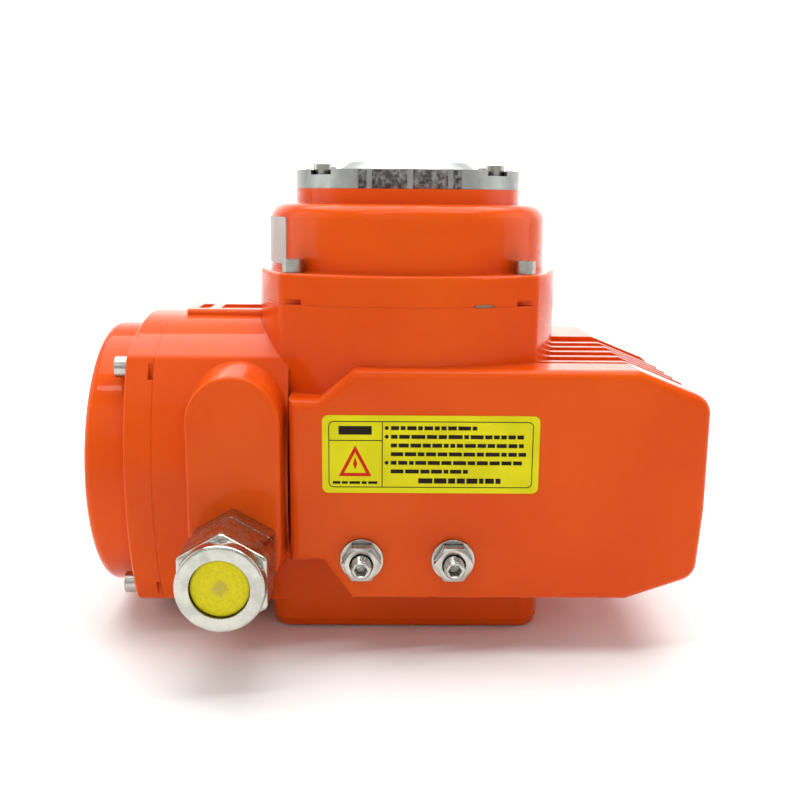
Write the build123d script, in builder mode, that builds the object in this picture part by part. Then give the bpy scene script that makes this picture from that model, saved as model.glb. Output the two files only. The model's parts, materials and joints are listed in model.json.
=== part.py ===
"""Motorized quarter-turn valve actuator, modelled in millimetres.

Z is the axis of the output shaft and Z = 0 is the face that sits on the valve.
X runs from the terminal compartment (negative) to the motor compartment (positive).
The side with the rating label and the stop screws faces -Y.
"""
import math
import os

from build123d import *

os.makedirs("parts", exist_ok=True)

# ---------------------------------------------------------------- driving dimensions
# bulged square used for the tower, its cover and the terminal compartment
CASE_HALF = 62.0
CASE_BULGE_R = 103.0
CASE_CORNER_R = 4.0
CAVITY_R = 50.0
COVER_SCREW_XY = 44.5

# main casting
BASE_X = 55.3
BASE_Y = 42.5
BASE_TOP = 38.5
FRONT_Y = -67.5
REAR_Y = 62.0
REAR_COVER_THICK = 6.0
BODY_LEFT = -45.0
BODY_TOP = 113.4
BODY_BOTTOM = 23.2
BODY_RIGHT = 113.8
EDGE_R = 3.5
FIN_DROP = 2.5
FIN_FRONT_Y = -49.0
FIN_REAR_Y = 27.0
FIN_PITCH = 13.0
FIN_COUNT = 5
FIN_WIDTH = 4.0

# tower and terminal compartment
JOINT_Z = 135.8
BOX_Z = 65.6
BOX_JOINT_X = -98.0
BOX_INNER_X = -52.0

# covers
COVER_FLANGE = 11.7
DOME_R = 57.5
DOME_TOP = 173.4
DOME_EDGE_R = 6.5
DOME_WALL = 3.5
NECK_R = 46.9
NECK_TOP = 179.2
WINDOW_OPENING_R = 18.0
END_FLANGE = 11.0
END_CAP_R = 56.4
END_CAP_DEPTH = 17.3
ORING_R = 54.0
PRY_SLOT = 1.9

# sight window
RING_R = 46.6
RING_HEIGHT = 7.4
RING_SCREW_R = 40.0
RING_SCREW_ANGLES = (-150, -30, 30, 150)
RING_SEAT_DEPTH = 2.1
RING_NOTCH = 8.4
BEZEL_BASE_R = 29.5
BEZEL_TOP_R = 24.6
BEZEL_HEIGHT = 3.4
GLASS_R = 22.0
GLASS_THICK = 6.0
GASKET_THICK = 1.2

# screws: shank diameter, head diameter, head height, socket across flats
M4_FIT = (3.9, 7.2, 4.2, 3.0)
M5_FIT = (4.9, 8.5, 5.0, 4.0)

# output drive
SQUARE = 14.0
SLEEVE_BOTTOM = 1.5
SOCKET_DEPTH = 30.0
SLEEVE_R = 12.4
NOSE_R = 11.0
NOSE_TOP = 8.2
BUSH_INNER_R = SLEEVE_R + 0.05
BUSH_OUTER_R = 16.0
SEAT_R = 12.5
SECTOR_Z = 34.5
SECTOR_THICK = 11.0
SECTOR_R = 36.0
SECTOR_HUB_R = 26.0
STOP_X = 17.5
STOP_Z = 40.0
STOP_FACE = 24.0
STOP_GAP = 0.3
STOP_TIP_Y = -80.5
CHAMBER_R = 40.0
CHAMBER_BOTTOM = 32.5
DECK_Z = 86.0
DECK_THICK = 8.0
DECK_R = 48.0

# worm gear pair
WORM_Y = 45.0
WORM_Z = 55.0
WORM_MODULE = 2.0
WORM_WHEEL_TEETH = 36
WORM_PITCH_R = 9.0
WORM_BORE_R = 13.0
WHEEL_WIDTH = 12.0

# spur train, module 1, axes given as (Y, Z)
SPUR_MODULE = 1.0
WORM_GEAR_TEETH = 30
SMALL_TEETH = 16
LARGE_TEETH = 60
PINION_TEETH = 14
HAND_TEETH = 14
MOTOR_AXIS = (-12.0, 67.0)
HAND_Y = 52.0
HAND_PORT_R = 7.5

# cable entry
GLAND_X = -65.6
GLAND_Z = 43.0
BOSS_Y = -71.0
BOSS_R = 17.5
BOSS_TOP_Z = 93.5
ENTRY_R = 12.5

# output flange, sizes F05 and F07
F05_PCD = 50.0
F07_PCD = 70.0


# ---------------------------------------------------------------- shared shapes
def save(builder, name):
    """Label a finished piece and write it as a STEP file."""
    builder.part.label = name
    export_step(builder.part, f"parts/{name}.step")


def disc(plane, radius, height, mode=Mode.ADD, spots=((0, 0),)):
    """Round discs on a plane, one at each spot."""
    with BuildSketch(plane) as shape:
        with Locations(*spots):
            Circle(radius)
    extrude(shape.sketch, amount=height, mode=mode)


def tube(plane, outer, inner, height, mode=Mode.ADD, spots=((0, 0),)):
    """Round tubes on a plane, one at each spot."""
    with BuildSketch(plane) as shape:
        with Locations(*spots):
            Circle(outer)
            Circle(inner, mode=Mode.SUBTRACT)
    extrude(shape.sketch, amount=height, mode=mode)


def slab(plane, width, depth, height, mode=Mode.ADD, spots=((0, 0),), corner=0.0):
    """Rectangular blocks on a plane, one at each spot."""
    with BuildSketch(plane) as shape:
        with Locations(*spots):
            if corner:
                RectangleRounded(width, depth, corner)
            else:
                Rectangle(width, depth)
    extrude(shape.sketch, amount=height, mode=mode)


def hexagon(plane, flats, height, mode=Mode.ADD, spots=((0, 0),), turn=0.0, corner=0.0):
    """Hexagonal prisms on a plane, one at each spot."""
    with BuildSketch(plane) as shape:
        with Locations(*spots):
            RegularPolygon(flats / 2, 6, major_radius=False, rotation=turn)
        if corner:
            fillet(shape.vertices(), corner)
    extrude(shape.sketch, amount=height, mode=mode)


def prism(plane, points, height, mode=Mode.ADD, corner=0.0):
    """A prism over a closed polygon."""
    with BuildSketch(plane) as shape:
        with BuildLine():
            Polyline(*points, close=True)
        make_face()
        if corner:
            fillet(shape.vertices(), corner)
    extrude(shape.sketch, amount=height, mode=mode)


def bulged_square(plane, half, height, mode=Mode.ADD, corner=CASE_CORNER_R):
    """A prism over a square whose four sides are long outward arcs."""
    radius = CASE_BULGE_R - (CASE_HALF - half)
    across = radius - half
    reach = (math.sqrt(2 * radius * radius - across * across) - across) / 2
    with BuildSketch(plane) as shape:
        with BuildLine():
            ThreePointArc((-reach, -reach), (0, -half), (reach, -reach))
            ThreePointArc((reach, -reach), (half, 0), (reach, reach))
            ThreePointArc((reach, reach), (0, half), (-reach, reach))
            ThreePointArc((-reach, reach), (-half, 0), (-reach, -reach))
        make_face()
        fillet(shape.vertices(), corner)
    extrude(shape.sketch, amount=height, mode=mode)


def cap_screws(seat, spots, size, length):
    """Socket head cap screws: heads stand on the seat plane, shanks go below it."""
    shank, head, head_height, socket = size
    disc(seat, head / 2, head_height, spots=spots)
    disc(seat, shank / 2, -length, spots=spots)
    hexagon(seat.offset(head_height), socket, -head_height * 0.55, Mode.SUBTRACT, spots)


def gear_outline(teeth, module, thin, tip_share=1.0):
    """Corner points of a spur gear with each flank drawn in three steps."""
    pitch_r = teeth * module / 2
    root_r = pitch_r - 1.25 * module
    tip_r = pitch_r + tip_share * module
    half_pitch = math.pi / (2 * teeth)
    slack = thin / pitch_r
    steps = (
        (root_r, half_pitch * 1.55 - slack),
        (pitch_r, half_pitch - slack),
        (tip_r, half_pitch * 0.42 - slack * 0.4),
    )
    points = []
    for tooth in range(teeth):
        middle = 2 * math.pi * tooth / teeth
        flank = [(radius, middle - half) for radius, half in steps]
        flank += [(radius, middle + half) for radius, half in reversed(steps)]
        points += [(r * math.cos(a), r * math.sin(a)) for r, a in flank]
    return points


def spur_gear(plane, teeth, width, bore_r, thin=0.18, turn=0.0):
    """A spur gear with a round bore. The first tooth points along the turned x axis."""
    with BuildSketch(plane) as shape:
        with BuildLine():
            Polyline(*turned(gear_outline(teeth, SPUR_MODULE, thin), turn), close=True)
        make_face()
        Circle(bore_r, mode=Mode.SUBTRACT)
    extrude(shape.sketch, amount=width)


def turned(points, degrees):
    """The same points turned about the origin."""
    angle = math.radians(degrees)
    c, s = math.cos(angle), math.sin(angle)
    return [(x * c - y * s, x * s + y * c) for x, y in points]


def across_x(x, y=0.0, z=0.0):
    """A plane facing +X whose own axes are Y and Z, with its origin at (x, y, z)."""
    return Plane(origin=(x, y, z), x_dir=(0, 1, 0), z_dir=(1, 0, 0))


def across_y(y, x=0.0, z=0.0):
    """A plane facing -Y whose own axes are X and Z, with its origin at (x, y, z)."""
    return Plane(origin=(x, y, z), x_dir=(1, 0, 0), z_dir=(0, -1, 0))


def meeting_point(first, first_reach, second, second_reach):
    """The point at the two given distances from two points, on the upper side."""
    dy, dz = second[0] - first[0], second[1] - first[1]
    apart = math.hypot(dy, dz)
    along = (first_reach**2 - second_reach**2 + apart**2) / (2 * apart)
    aside = math.sqrt(first_reach**2 - along**2)
    return (first[0] + (dy * along - dz * aside) / apart, first[1] + (dz * along + dy * aside) / apart)


def bearing(start, end):
    """Direction in degrees from one axis to another."""
    return math.degrees(math.atan2(end[1] - start[1], end[0] - start[0]))


# axes of the spur train in Y and Z
WORM_AXIS = (WORM_Y, WORM_Z)
MIDDLE_AXIS = meeting_point(
    MOTOR_AXIS, (LARGE_TEETH + PINION_TEETH) / 2, WORM_AXIS, (WORM_GEAR_TEETH + SMALL_TEETH) / 2
)
HAND_REACH = (LARGE_TEETH + HAND_TEETH) / 2
HAND_AXIS = (HAND_Y, MIDDLE_AXIS[1] + math.sqrt(HAND_REACH**2 - (HAND_Y - MIDDLE_AXIS[0]) ** 2))

COVER_SPOTS = [(sx * COVER_SCREW_XY, sy * COVER_SCREW_XY) for sx in (-1, 1) for sy in (-1, 1)]
PRY_SPOTS = [(sx * 53.5, sy * 45.2) for sx in (-1, 1) for sy in (-1, 1)]
RING_SPOTS = [
    (RING_SCREW_R * math.cos(math.radians(a)), RING_SCREW_R * math.sin(math.radians(a)))
    for a in RING_SCREW_ANGLES
]
HOLLOW_POSTS = [(103.5, 70), (97, 40), (84, 103.5), (68, 35)]
REAR_SPOTS = HOLLOW_POSTS + [(30, 100), (-15, 104), (-38, 70), (-12, 33), (30, 33)]
DECK_SPOTS = [(44 * math.cos(math.radians(a)), 44 * math.sin(math.radians(a))) for a in (45, 135, 225, 315)]

# the outline seen from the front, drawn in X and Z
BODY_OUTLINE = [
    (BODY_LEFT, BASE_TOP),
    (-32.4, BASE_TOP),
    (-21.3, BODY_BOTTOM),
    (85.2, BODY_BOTTOM),
    (112.0, 32.6),
    (BODY_RIGHT, 60.0),
    (BODY_RIGHT, 102.3),
    (86.2, BODY_TOP),
    (-20.5, BODY_TOP),
    (-33.8, 102.0),
    (BODY_LEFT, 102.0),
]
# the hollow for the motor and the spur train, drawn in X and Z
MOTOR_HOLLOW = [
    (37, 31), (84, 31), (104, 38), (107.5, 46), (107.5, 96), (84, 105.5), (49.8, 105.5), (49.8, 82), (37, 82)
]


# ---------------------------------------------------------------- main casting
with BuildPart() as gearbox_housing:
    # body seen from the front, with a softened front edge
    with BuildSketch(across_y(FRONT_Y)) as body_shape:
        with BuildLine():
            Polyline(*BODY_OUTLINE, close=True)
        make_face()
        fillet([v for v in body_shape.vertices() if v.X > 100], 8)
    extrude(body_shape.sketch, amount=FRONT_Y - REAR_Y)
    fillet(gearbox_housing.edges().group_by(Axis.Y)[0], EDGE_R)
    # the roof over the motor is let down and carries cooling ribs
    with BuildSketch(across_y(FIN_FRONT_Y)) as roof_shape:
        with BuildLine():
            Polyline(
                (-30, 140), (130, 140), (130, 96 - FIN_DROP), (BODY_RIGHT + 0.5, 101.8 - FIN_DROP),
                (86.0, BODY_TOP - FIN_DROP), (-30, BODY_TOP - FIN_DROP), close=True,
            )
        make_face()
    extrude(roof_shape.sketch, amount=FIN_FRONT_Y - FIN_REAR_Y, mode=Mode.SUBTRACT)
    for rib in range(FIN_COUNT):
        rib_y = FIN_FRONT_Y + 5 + rib * FIN_PITCH
        prism(
            across_y(rib_y + FIN_WIDTH),
            [(40, BODY_TOP - 8), (40, BODY_TOP - 0.3), (86, BODY_TOP - 0.3), (112.2, 102.4), (112.2, 96),
             (86, BODY_TOP - 8)],
            FIN_WIDTH,
        )
    # tower and terminal compartment
    bulged_square(Plane.XY.offset(60), CASE_HALF, JOINT_Z - 60)
    bulged_square(across_x(BOX_JOINT_X, 0, BOX_Z), CASE_HALF, BODY_LEFT - 1 - BOX_JOINT_X)
    slab(Plane.XY, BASE_X + BODY_LEFT + 1, 30, BASE_TOP, Mode.SUBTRACT,
         [((BODY_LEFT + 1 - BASE_X) / 2, -BASE_Y - 15)])
    # block over the valve flange, standing on its own softened foot
    slab(Plane.XY.offset(4.5), 2 * BASE_X, 2 * BASE_Y, 48, corner=9)
    with BuildSketch(Plane.XY.offset(4.5)) as foot_shape:
        RectangleRounded(2 * BASE_X, 2 * BASE_Y, 9)
    with BuildSketch(Plane.XY.offset(1.2)) as foot_mid_shape:
        RectangleRounded(2 * BASE_X - 2.4, 2 * BASE_Y - 2.4, 7.8)
    with BuildSketch(Plane.XY) as foot_low_shape:
        RectangleRounded(2 * BASE_X - 7, 2 * BASE_Y - 7, 5.5)
    loft([foot_mid_shape.sketch.face(), foot_shape.sketch.face()], ruled=True)
    loft([foot_low_shape.sketch.face(), foot_mid_shape.sketch.face()], ruled=True)
    # raised pad with two shallow pockets on the compartment roof
    slab(across_x(-92, 0, BOX_Z + 61.4), 26, 4.6, 32, corner=2)
    slab(Plane.XY.offset(BOX_Z + 62.7), 17, 15, 3, Mode.SUBTRACT, [(-70.5, 0)], corner=1.5)
    slab(Plane.XY.offset(BOX_Z + 62.7), 5, 15, 3, Mode.SUBTRACT, [(-86, 0)], corner=1.5)
    # long boss behind the cable entry
    with BuildSketch(across_y(BOSS_Y)) as boss_shape:
        with Locations((GLAND_X, (GLAND_Z + BOSS_TOP_Z) / 2)):
            SlotCenterToCenter(BOSS_TOP_Z - GLAND_Z, 2 * BOSS_R, rotation=90)
    extrude(boss_shape.sketch, amount=-31, taper=-7)
    fillet(gearbox_housing.edges().group_by(Axis.Y)[0], 1.6)

    # hollows: tower, terminals, gear chamber, motor and spur train
    disc(Plane.XY.offset(DECK_Z + DECK_THICK), CAVITY_R, 60, Mode.SUBTRACT)
    disc(across_x(BOX_JOINT_X - 1, 0, BOX_Z), CAVITY_R, BOX_INNER_X - BOX_JOINT_X + 1, Mode.SUBTRACT)
    slab(across_x(BOX_INNER_X - 6, 0, 102), 36, 12, 16, Mode.SUBTRACT, corner=4)
    disc(Plane.XY.offset(CHAMBER_BOTTOM), CHAMBER_R, 80, Mode.SUBTRACT)
    disc(Plane.XY.offset(DECK_Z), DECK_R + 0.1, 30, Mode.SUBTRACT)
    prism(across_y(-49), MOTOR_HOLLOW, -49 - REAR_Y - 1, Mode.SUBTRACT, corner=2.5)
    disc(across_x(-40, WORM_Y, WORM_Z), WORM_BORE_R, 90, Mode.SUBTRACT)
    # posts for the rear cover screws inside the motor hollow
    disc(across_y(30), 5.0, 30 - REAR_Y, spots=HOLLOW_POSTS)
    # O-ring grooves in the two joint faces
    tube(Plane.XY.offset(JOINT_Z - 1.6), ORING_R + 1.4, ORING_R - 1.4, 3, Mode.SUBTRACT)
    tube(across_x(BOX_JOINT_X - 1, 0, BOX_Z), ORING_R + 1.4, ORING_R - 1.4, 2.6, Mode.SUBTRACT)
    # drive bore, bush seat and seal seat
    disc(Plane.XY.offset(-1), NOSE_R + 0.3, 60, Mode.SUBTRACT)
    disc(Plane.XY.offset(8), BUSH_OUTER_R, 60, Mode.SUBTRACT)
    disc(Plane.XY.offset(-1), 19.0, 7, Mode.SUBTRACT)
    # tapped holes of the valve flange
    disc(Plane.XY.offset(-1), 2.5, 15, Mode.SUBTRACT,
         [(F05_PCD / 2 * math.cos(a), F05_PCD / 2 * math.sin(a)) for a in (0, math.pi / 2, math.pi, math.pi * 1.5)])
    disc(Plane.XY.offset(-1), 3.4, 17, Mode.SUBTRACT,
         [(sx * F07_PCD / math.sqrt(8), sy * F07_PCD / math.sqrt(8)) for sx in (-1, 1) for sy in (-1, 1)])
    # stop screw holes
    disc(across_y(-30), 4.0, 50, Mode.SUBTRACT, [(-STOP_X, STOP_Z), (STOP_X, STOP_Z)])
    # cable entry and hand-drive port
    disc(across_y(-48), ENTRY_R, 30, Mode.SUBTRACT, [(GLAND_X, GLAND_Z)])
    disc(across_x(100, *HAND_AXIS), HAND_PORT_R, 30, Mode.SUBTRACT)
    disc(across_x(32, *MIDDLE_AXIS), 4.0, 6, Mode.SUBTRACT)
    disc(across_x(45, *HAND_AXIS), 4.05, 6, Mode.SUBTRACT)
    # blind holes for the cover screws
    disc(Plane.XY.offset(JOINT_Z + 1), 2.5, -16, Mode.SUBTRACT, COVER_SPOTS)
    disc(across_x(BOX_JOINT_X - 1, 0, BOX_Z), 2.5, 16, Mode.SUBTRACT, COVER_SPOTS)
    disc(Plane.XY.offset(DECK_Z + 1), 2.0, -13, Mode.SUBTRACT, DECK_SPOTS)
    disc(across_y(REAR_Y + 1), 2.0, 13, Mode.SUBTRACT, REAR_SPOTS)
save(gearbox_housing, "gearbox_housing")


# ---------------------------------------------------------------- covers
with BuildPart() as top_cover:
    bulged_square(Plane.XY.offset(JOINT_Z), CASE_HALF, COVER_FLANGE)
    fillet(top_cover.edges().group_by(Axis.Z)[-1], 1.5)
    disc(Plane.XY.offset(JOINT_Z + 1), DOME_R, DOME_TOP - JOINT_Z - 1)
    fillet(top_cover.edges().group_by(Axis.Z)[-1], DOME_EDGE_R)
    disc(Plane.XY.offset(DOME_TOP - 0.5), NECK_R, NECK_TOP - DOME_TOP + 0.5)
    disc(Plane.XY.offset(JOINT_Z - 1), DOME_R - DOME_WALL - 3, 36, Mode.SUBTRACT)
    disc(Plane.XY.offset(JOINT_Z + 1), WINDOW_OPENING_R, 60, Mode.SUBTRACT)
    disc(Plane.XY.offset(JOINT_Z - 1), 2.75, 20, Mode.SUBTRACT, COVER_SPOTS)
    disc(Plane.XY.offset(NECK_TOP + 1), 2.0, -7.5, Mode.SUBTRACT, RING_SPOTS)
    # pry slots beside the corners of the joint
    slab(Plane.XY.offset(JOINT_Z - 1), 8.5, 6, 1 + PRY_SLOT, Mode.SUBTRACT, [(x, y) for y, x in PRY_SPOTS])
save(top_cover, "top_cover")

with BuildPart() as top_cover_oring:
    tube(Plane.XY.offset(JOINT_Z - 1.55), ORING_R + 1.3, ORING_R - 1.3, 1.55)
save(top_cover_oring, "top_cover_oring")

with BuildPart() as top_cover_screws:
    cap_screws(Plane.XY.offset(JOINT_Z + COVER_FLANGE), COVER_SPOTS, M5_FIT, 24)
save(top_cover_screws, "top_cover_screws")

END_PLANE_X = BOX_JOINT_X - END_FLANGE
with BuildPart() as end_cover:
    bulged_square(across_x(BOX_JOINT_X, 0, BOX_Z), CASE_HALF, -END_FLANGE)
    fillet(end_cover.edges().group_by(Axis.X)[0], 1.5)
    disc(across_x(END_PLANE_X + 1, 0, BOX_Z), END_CAP_R, -END_CAP_DEPTH - 1)
    fillet(end_cover.edges().group_by(Axis.X)[0], 4.0)
    disc(across_x(BOX_JOINT_X + 1, 0, BOX_Z), END_CAP_R - 5.5, -END_FLANGE - END_CAP_DEPTH + 4 - 1, Mode.SUBTRACT)
    disc(across_x(BOX_JOINT_X + 1, 0, BOX_Z), 2.75, -20, Mode.SUBTRACT, COVER_SPOTS)
    slab(across_x(BOX_JOINT_X + 1, 0, BOX_Z), 6, 8.5, -1 - PRY_SLOT, Mode.SUBTRACT, PRY_SPOTS)
save(end_cover, "end_cover")

with BuildPart() as end_cover_oring:
    tube(across_x(BOX_JOINT_X, 0, BOX_Z), ORING_R + 1.3, ORING_R - 1.3, 1.55)
save(end_cover_oring, "end_cover_oring")

with BuildPart() as end_cover_screws:
    cap_screws(Plane(origin=(END_PLANE_X, 0, BOX_Z), x_dir=(0, -1, 0), z_dir=(-1, 0, 0)), COVER_SPOTS, M5_FIT, 24)
save(end_cover_screws, "end_cover_screws")

REAR_PLANE = Plane(origin=(0, REAR_Y + REAR_COVER_THICK, 0), x_dir=(-1, 0, 0), z_dir=(0, 1, 0))
REAR_SPOTS_SEEN = [(-x, z) for x, z in REAR_SPOTS]
with BuildPart() as rear_cover:
    with BuildSketch(across_y(REAR_Y)) as rear_shape:
        with BuildLine():
            Polyline(*BODY_OUTLINE, close=True)
        make_face()
        fillet([v for v in rear_shape.vertices() if v.X > 100], 8)
    extrude(rear_shape.sketch, amount=-REAR_COVER_THICK)
    fillet(rear_cover.edges().group_by(Axis.Y)[-1], EDGE_R)
    disc(REAR_PLANE.offset(-REAR_COVER_THICK - 1), 2.3, 12, Mode.SUBTRACT, REAR_SPOTS_SEEN)
save(rear_cover, "rear_cover")

with BuildPart() as rear_cover_screws:
    cap_screws(REAR_PLANE, REAR_SPOTS_SEEN, M4_FIT, REAR_COVER_THICK + 9)
save(rear_cover_screws, "rear_cover_screws")

# ---------------------------------------------------------------- sight window
with BuildPart() as window_gasket:
    tube(Plane.XY.offset(NECK_TOP), GLASS_R - 0.2, WINDOW_OPENING_R + 0.3, GASKET_THICK)
save(window_gasket, "window_gasket")

GLASS_Z = NECK_TOP + GASKET_THICK
with BuildPart() as sight_glass:
    disc(Plane.XY.offset(GLASS_Z), GLASS_R, GLASS_THICK)
    chamfer(sight_glass.edges().group_by(Axis.Z)[-1], 0.6)
save(sight_glass, "sight_glass")

POCKET_SPOTS = [
    ((RING_R + 5.8) * math.cos(math.radians(a)), (RING_R + 5.8) * math.sin(math.radians(a)))
    for a in (-99.8, -80.2, 80.2, 99.8)
]
FLUTE_SPOTS = [
    ((RING_R + 0.9) * math.cos(math.radians(a)), (RING_R + 0.9) * math.sin(math.radians(a)))
    for a in (-113, -67, 67, 113)
]
RING_TOP = NECK_TOP + RING_HEIGHT
with BuildPart() as window_ring:
    disc(Plane.XY.offset(NECK_TOP), RING_R, RING_HEIGHT)
    with BuildSketch(Plane.XY.offset(RING_TOP)) as bezel_shape:
        Circle(BEZEL_BASE_R)
    with BuildSketch(Plane.XY.offset(RING_TOP + BEZEL_HEIGHT)) as bezel_top_shape:
        Circle(BEZEL_TOP_R)
    loft([bezel_shape.sketch.face(), bezel_top_shape.sketch.face()])
    disc(Plane.XY.offset(NECK_TOP - 1), GLASS_R + 0.1, 1 + GASKET_THICK + GLASS_THICK + 0.1, Mode.SUBTRACT)
    disc(Plane.XY.offset(NECK_TOP), 19.0, 40, Mode.SUBTRACT)
    disc(Plane.XY.offset(NECK_TOP - 1), 9.5, 20, Mode.SUBTRACT, POCKET_SPOTS)
    disc(Plane.XY.offset(NECK_TOP - 1), 2.2, 20, Mode.SUBTRACT, FLUTE_SPOTS)
    for spot in RING_SPOTS:
        # each screw sits in a notch that runs out to the rim, towards -Y or +Y
        seat = Plane(origin=(spot[0], spot[1], RING_TOP - RING_SEAT_DEPTH))
        disc(seat, RING_NOTCH / 2, 10, Mode.SUBTRACT)
        slab(seat, RING_NOTCH, 20, 10, Mode.SUBTRACT, [(0, math.copysign(10, spot[1]))])
        disc(seat.offset(-20), 2.2, 30, Mode.SUBTRACT)
save(window_ring, "window_ring")

with BuildPart() as window_ring_screws:
    cap_screws(Plane.XY.offset(RING_TOP - RING_SEAT_DEPTH), RING_SPOTS, M4_FIT, 11)
save(window_ring_screws, "window_ring_screws")

# ---------------------------------------------------------------- output drive
with BuildPart() as base_bush:
    tube(Plane.XY.offset(8), BUSH_OUTER_R, BUSH_INNER_R, CHAMBER_BOTTOM - 8)
save(base_bush, "base_bush")

with BuildPart() as shaft_seal:
    tube(Plane.XY.offset(1.2), 18.95, NOSE_R + 0.3, 4.6)
save(shaft_seal, "shaft_seal")

with BuildPart() as drive_sleeve:
    disc(Plane.XY.offset(SLEEVE_BOTTOM), NOSE_R, NOSE_TOP - SLEEVE_BOTTOM)
    disc(Plane.XY.offset(NOSE_TOP), SLEEVE_R, CHAMBER_BOTTOM + 0.4 - NOSE_TOP)
    disc(Plane.XY.offset(CHAMBER_BOTTOM + 0.4), 17.0, SECTOR_Z - CHAMBER_BOTTOM - 0.4)
    disc(Plane.XY.offset(SECTOR_Z), SEAT_R, 30)
    disc(Plane.XY.offset(SECTOR_Z + 30), 9.0, DECK_Z + DECK_THICK + 2 - SECTOR_Z - 30)
    slab(Plane.XY.offset(SLEEVE_BOTTOM), SQUARE, SQUARE, SOCKET_DEPTH, Mode.SUBTRACT, corner=0.8)
    disc(Plane.XY.offset(DECK_Z + DECK_THICK + 2), 4.0, -14, Mode.SUBTRACT)
    slab(Plane.XY.offset(WORM_Z - 6), 4, 2.5, 12, Mode.SUBTRACT, [(0, -SEAT_R + 1.25)])
save(drive_sleeve, "drive_sleeve")

with BuildPart() as stop_sector:
    with BuildSketch(Plane.XY.offset(SECTOR_Z)) as sector_shape:
        with BuildLine():
            Polyline(
                (-40, -STOP_FACE), (-10, -STOP_FACE), (STOP_FACE, 10), (STOP_FACE, 40), (-40, 40), close=True
            )
        make_face()
        Circle(SECTOR_R, mode=Mode.INTERSECT)
        Circle(SECTOR_HUB_R)
        Circle(SEAT_R, mode=Mode.SUBTRACT)
    extrude(sector_shape.sketch, amount=SECTOR_THICK)
save(stop_sector, "stop_sector")

WHEEL_R = WORM_MODULE * WORM_WHEEL_TEETH / 2
LEAD = math.pi * WORM_MODULE
WHEEL_TWIST = math.degrees(WHEEL_WIDTH / WORM_PITCH_R / WHEEL_R)
with BuildPart() as worm_wheel:
    # the outline turns a little from bottom to top, so the teeth follow the worm thread
    with BuildSketch(Plane.XY.offset(WORM_Z - WHEEL_WIDTH / 2)) as wheel_low:
        with BuildLine():
            Polyline(
                *turned(gear_outline(WORM_WHEEL_TEETH, WORM_MODULE, 0.45, 0.8), -WHEEL_TWIST / 2), close=True
            )
        make_face()
    with BuildSketch(Plane.XY.offset(WORM_Z + WHEEL_WIDTH / 2)) as wheel_high:
        with BuildLine():
            Polyline(
                *turned(gear_outline(WORM_WHEEL_TEETH, WORM_MODULE, 0.45, 0.8), WHEEL_TWIST / 2), close=True
            )
        make_face()
    loft([wheel_low.sketch.face(), wheel_high.sketch.face()], ruled=True)
    tube(Plane.XY.offset(WORM_Z + WHEEL_WIDTH / 2 - 4), 30, 19, 6, Mode.SUBTRACT)
    tube(Plane.XY.offset(SECTOR_Z + SECTOR_THICK + 0.3), 17, SEAT_R, WORM_Z - WHEEL_WIDTH / 2 - SECTOR_Z - SECTOR_THICK)
    disc(Plane.XY.offset(40), SEAT_R, 40, Mode.SUBTRACT)
    slab(Plane.XY.offset(40), 4, 2.5, 40, Mode.SUBTRACT, [(0, -SEAT_R - 0.9)])
save(worm_wheel, "worm_wheel")

with BuildPart() as wheel_key:
    slab(Plane.XY.offset(WORM_Z - 5.8), 3.96, 4.0, 11.6, spots=[(0, -SEAT_R + 0.1)])
save(wheel_key, "wheel_key")

with BuildPart() as gear_deck:
    disc(Plane.XY.offset(DECK_Z), DECK_R, DECK_THICK)
    disc(Plane.XY.offset(DECK_Z - 6), 15, 6)
    disc(Plane.XY.offset(DECK_Z - 10), 9.05, 40, Mode.SUBTRACT)
    disc(Plane.XY.offset(DECK_Z - 10), 2.2, 40, Mode.SUBTRACT, DECK_SPOTS)
save(gear_deck, "gear_deck")

with BuildPart() as deck_screws:
    cap_screws(Plane.XY.offset(DECK_Z + DECK_THICK), DECK_SPOTS, M4_FIT, DECK_THICK + 9)
save(deck_screws, "deck_screws")

# ---------------------------------------------------------------- worm and spur train
with BuildPart() as worm_shaft:
    disc(across_x(-36.5, *WORM_AXIS), 5.0, 86)
    disc(across_x(-27.5, *WORM_AXIS), 6.6, 53)
    with BuildLine() as thread_path:
        Helix(LEAD, 6 * LEAD, WORM_PITCH_R, center=(-2.75 * LEAD, *WORM_AXIS), direction=(1, 0, 0))
    thread_start = thread_path.line @ 0
    outward = Vector(0, thread_start.Y - WORM_Y, thread_start.Z - WORM_Z).normalized()
    with BuildSketch(Plane(origin=thread_start, x_dir=outward, z_dir=thread_path.line % 0)) as thread_shape:
        with BuildLine():
            Polyline((-2.8, -1.6), (1.9, -0.75), (1.9, 0.75), (-2.8, 1.6), close=True)
        make_face()
    sweep(thread_shape.sketch, path=thread_path.line, is_frenet=True)
save(worm_shaft, "worm_shaft")

with BuildPart() as worm_bearings:
    for bearing_x in (-36.0, 26.0):
        tube(across_x(bearing_x, *WORM_AXIS), WORM_BORE_R, 10.5, 8)
        tube(across_x(bearing_x, *WORM_AXIS), 7.5, 5.05, 8)
        tube(across_x(bearing_x + 1, *WORM_AXIS), 10.5, 7.5, 6)
save(worm_bearings, "worm_bearings")

with BuildPart() as worm_gear:
    spur_gear(across_x(41, *WORM_AXIS), WORM_GEAR_TEETH, 7, 5.0, turn=bearing(WORM_AXIS, MIDDLE_AXIS))
save(worm_gear, "worm_gear")

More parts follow.
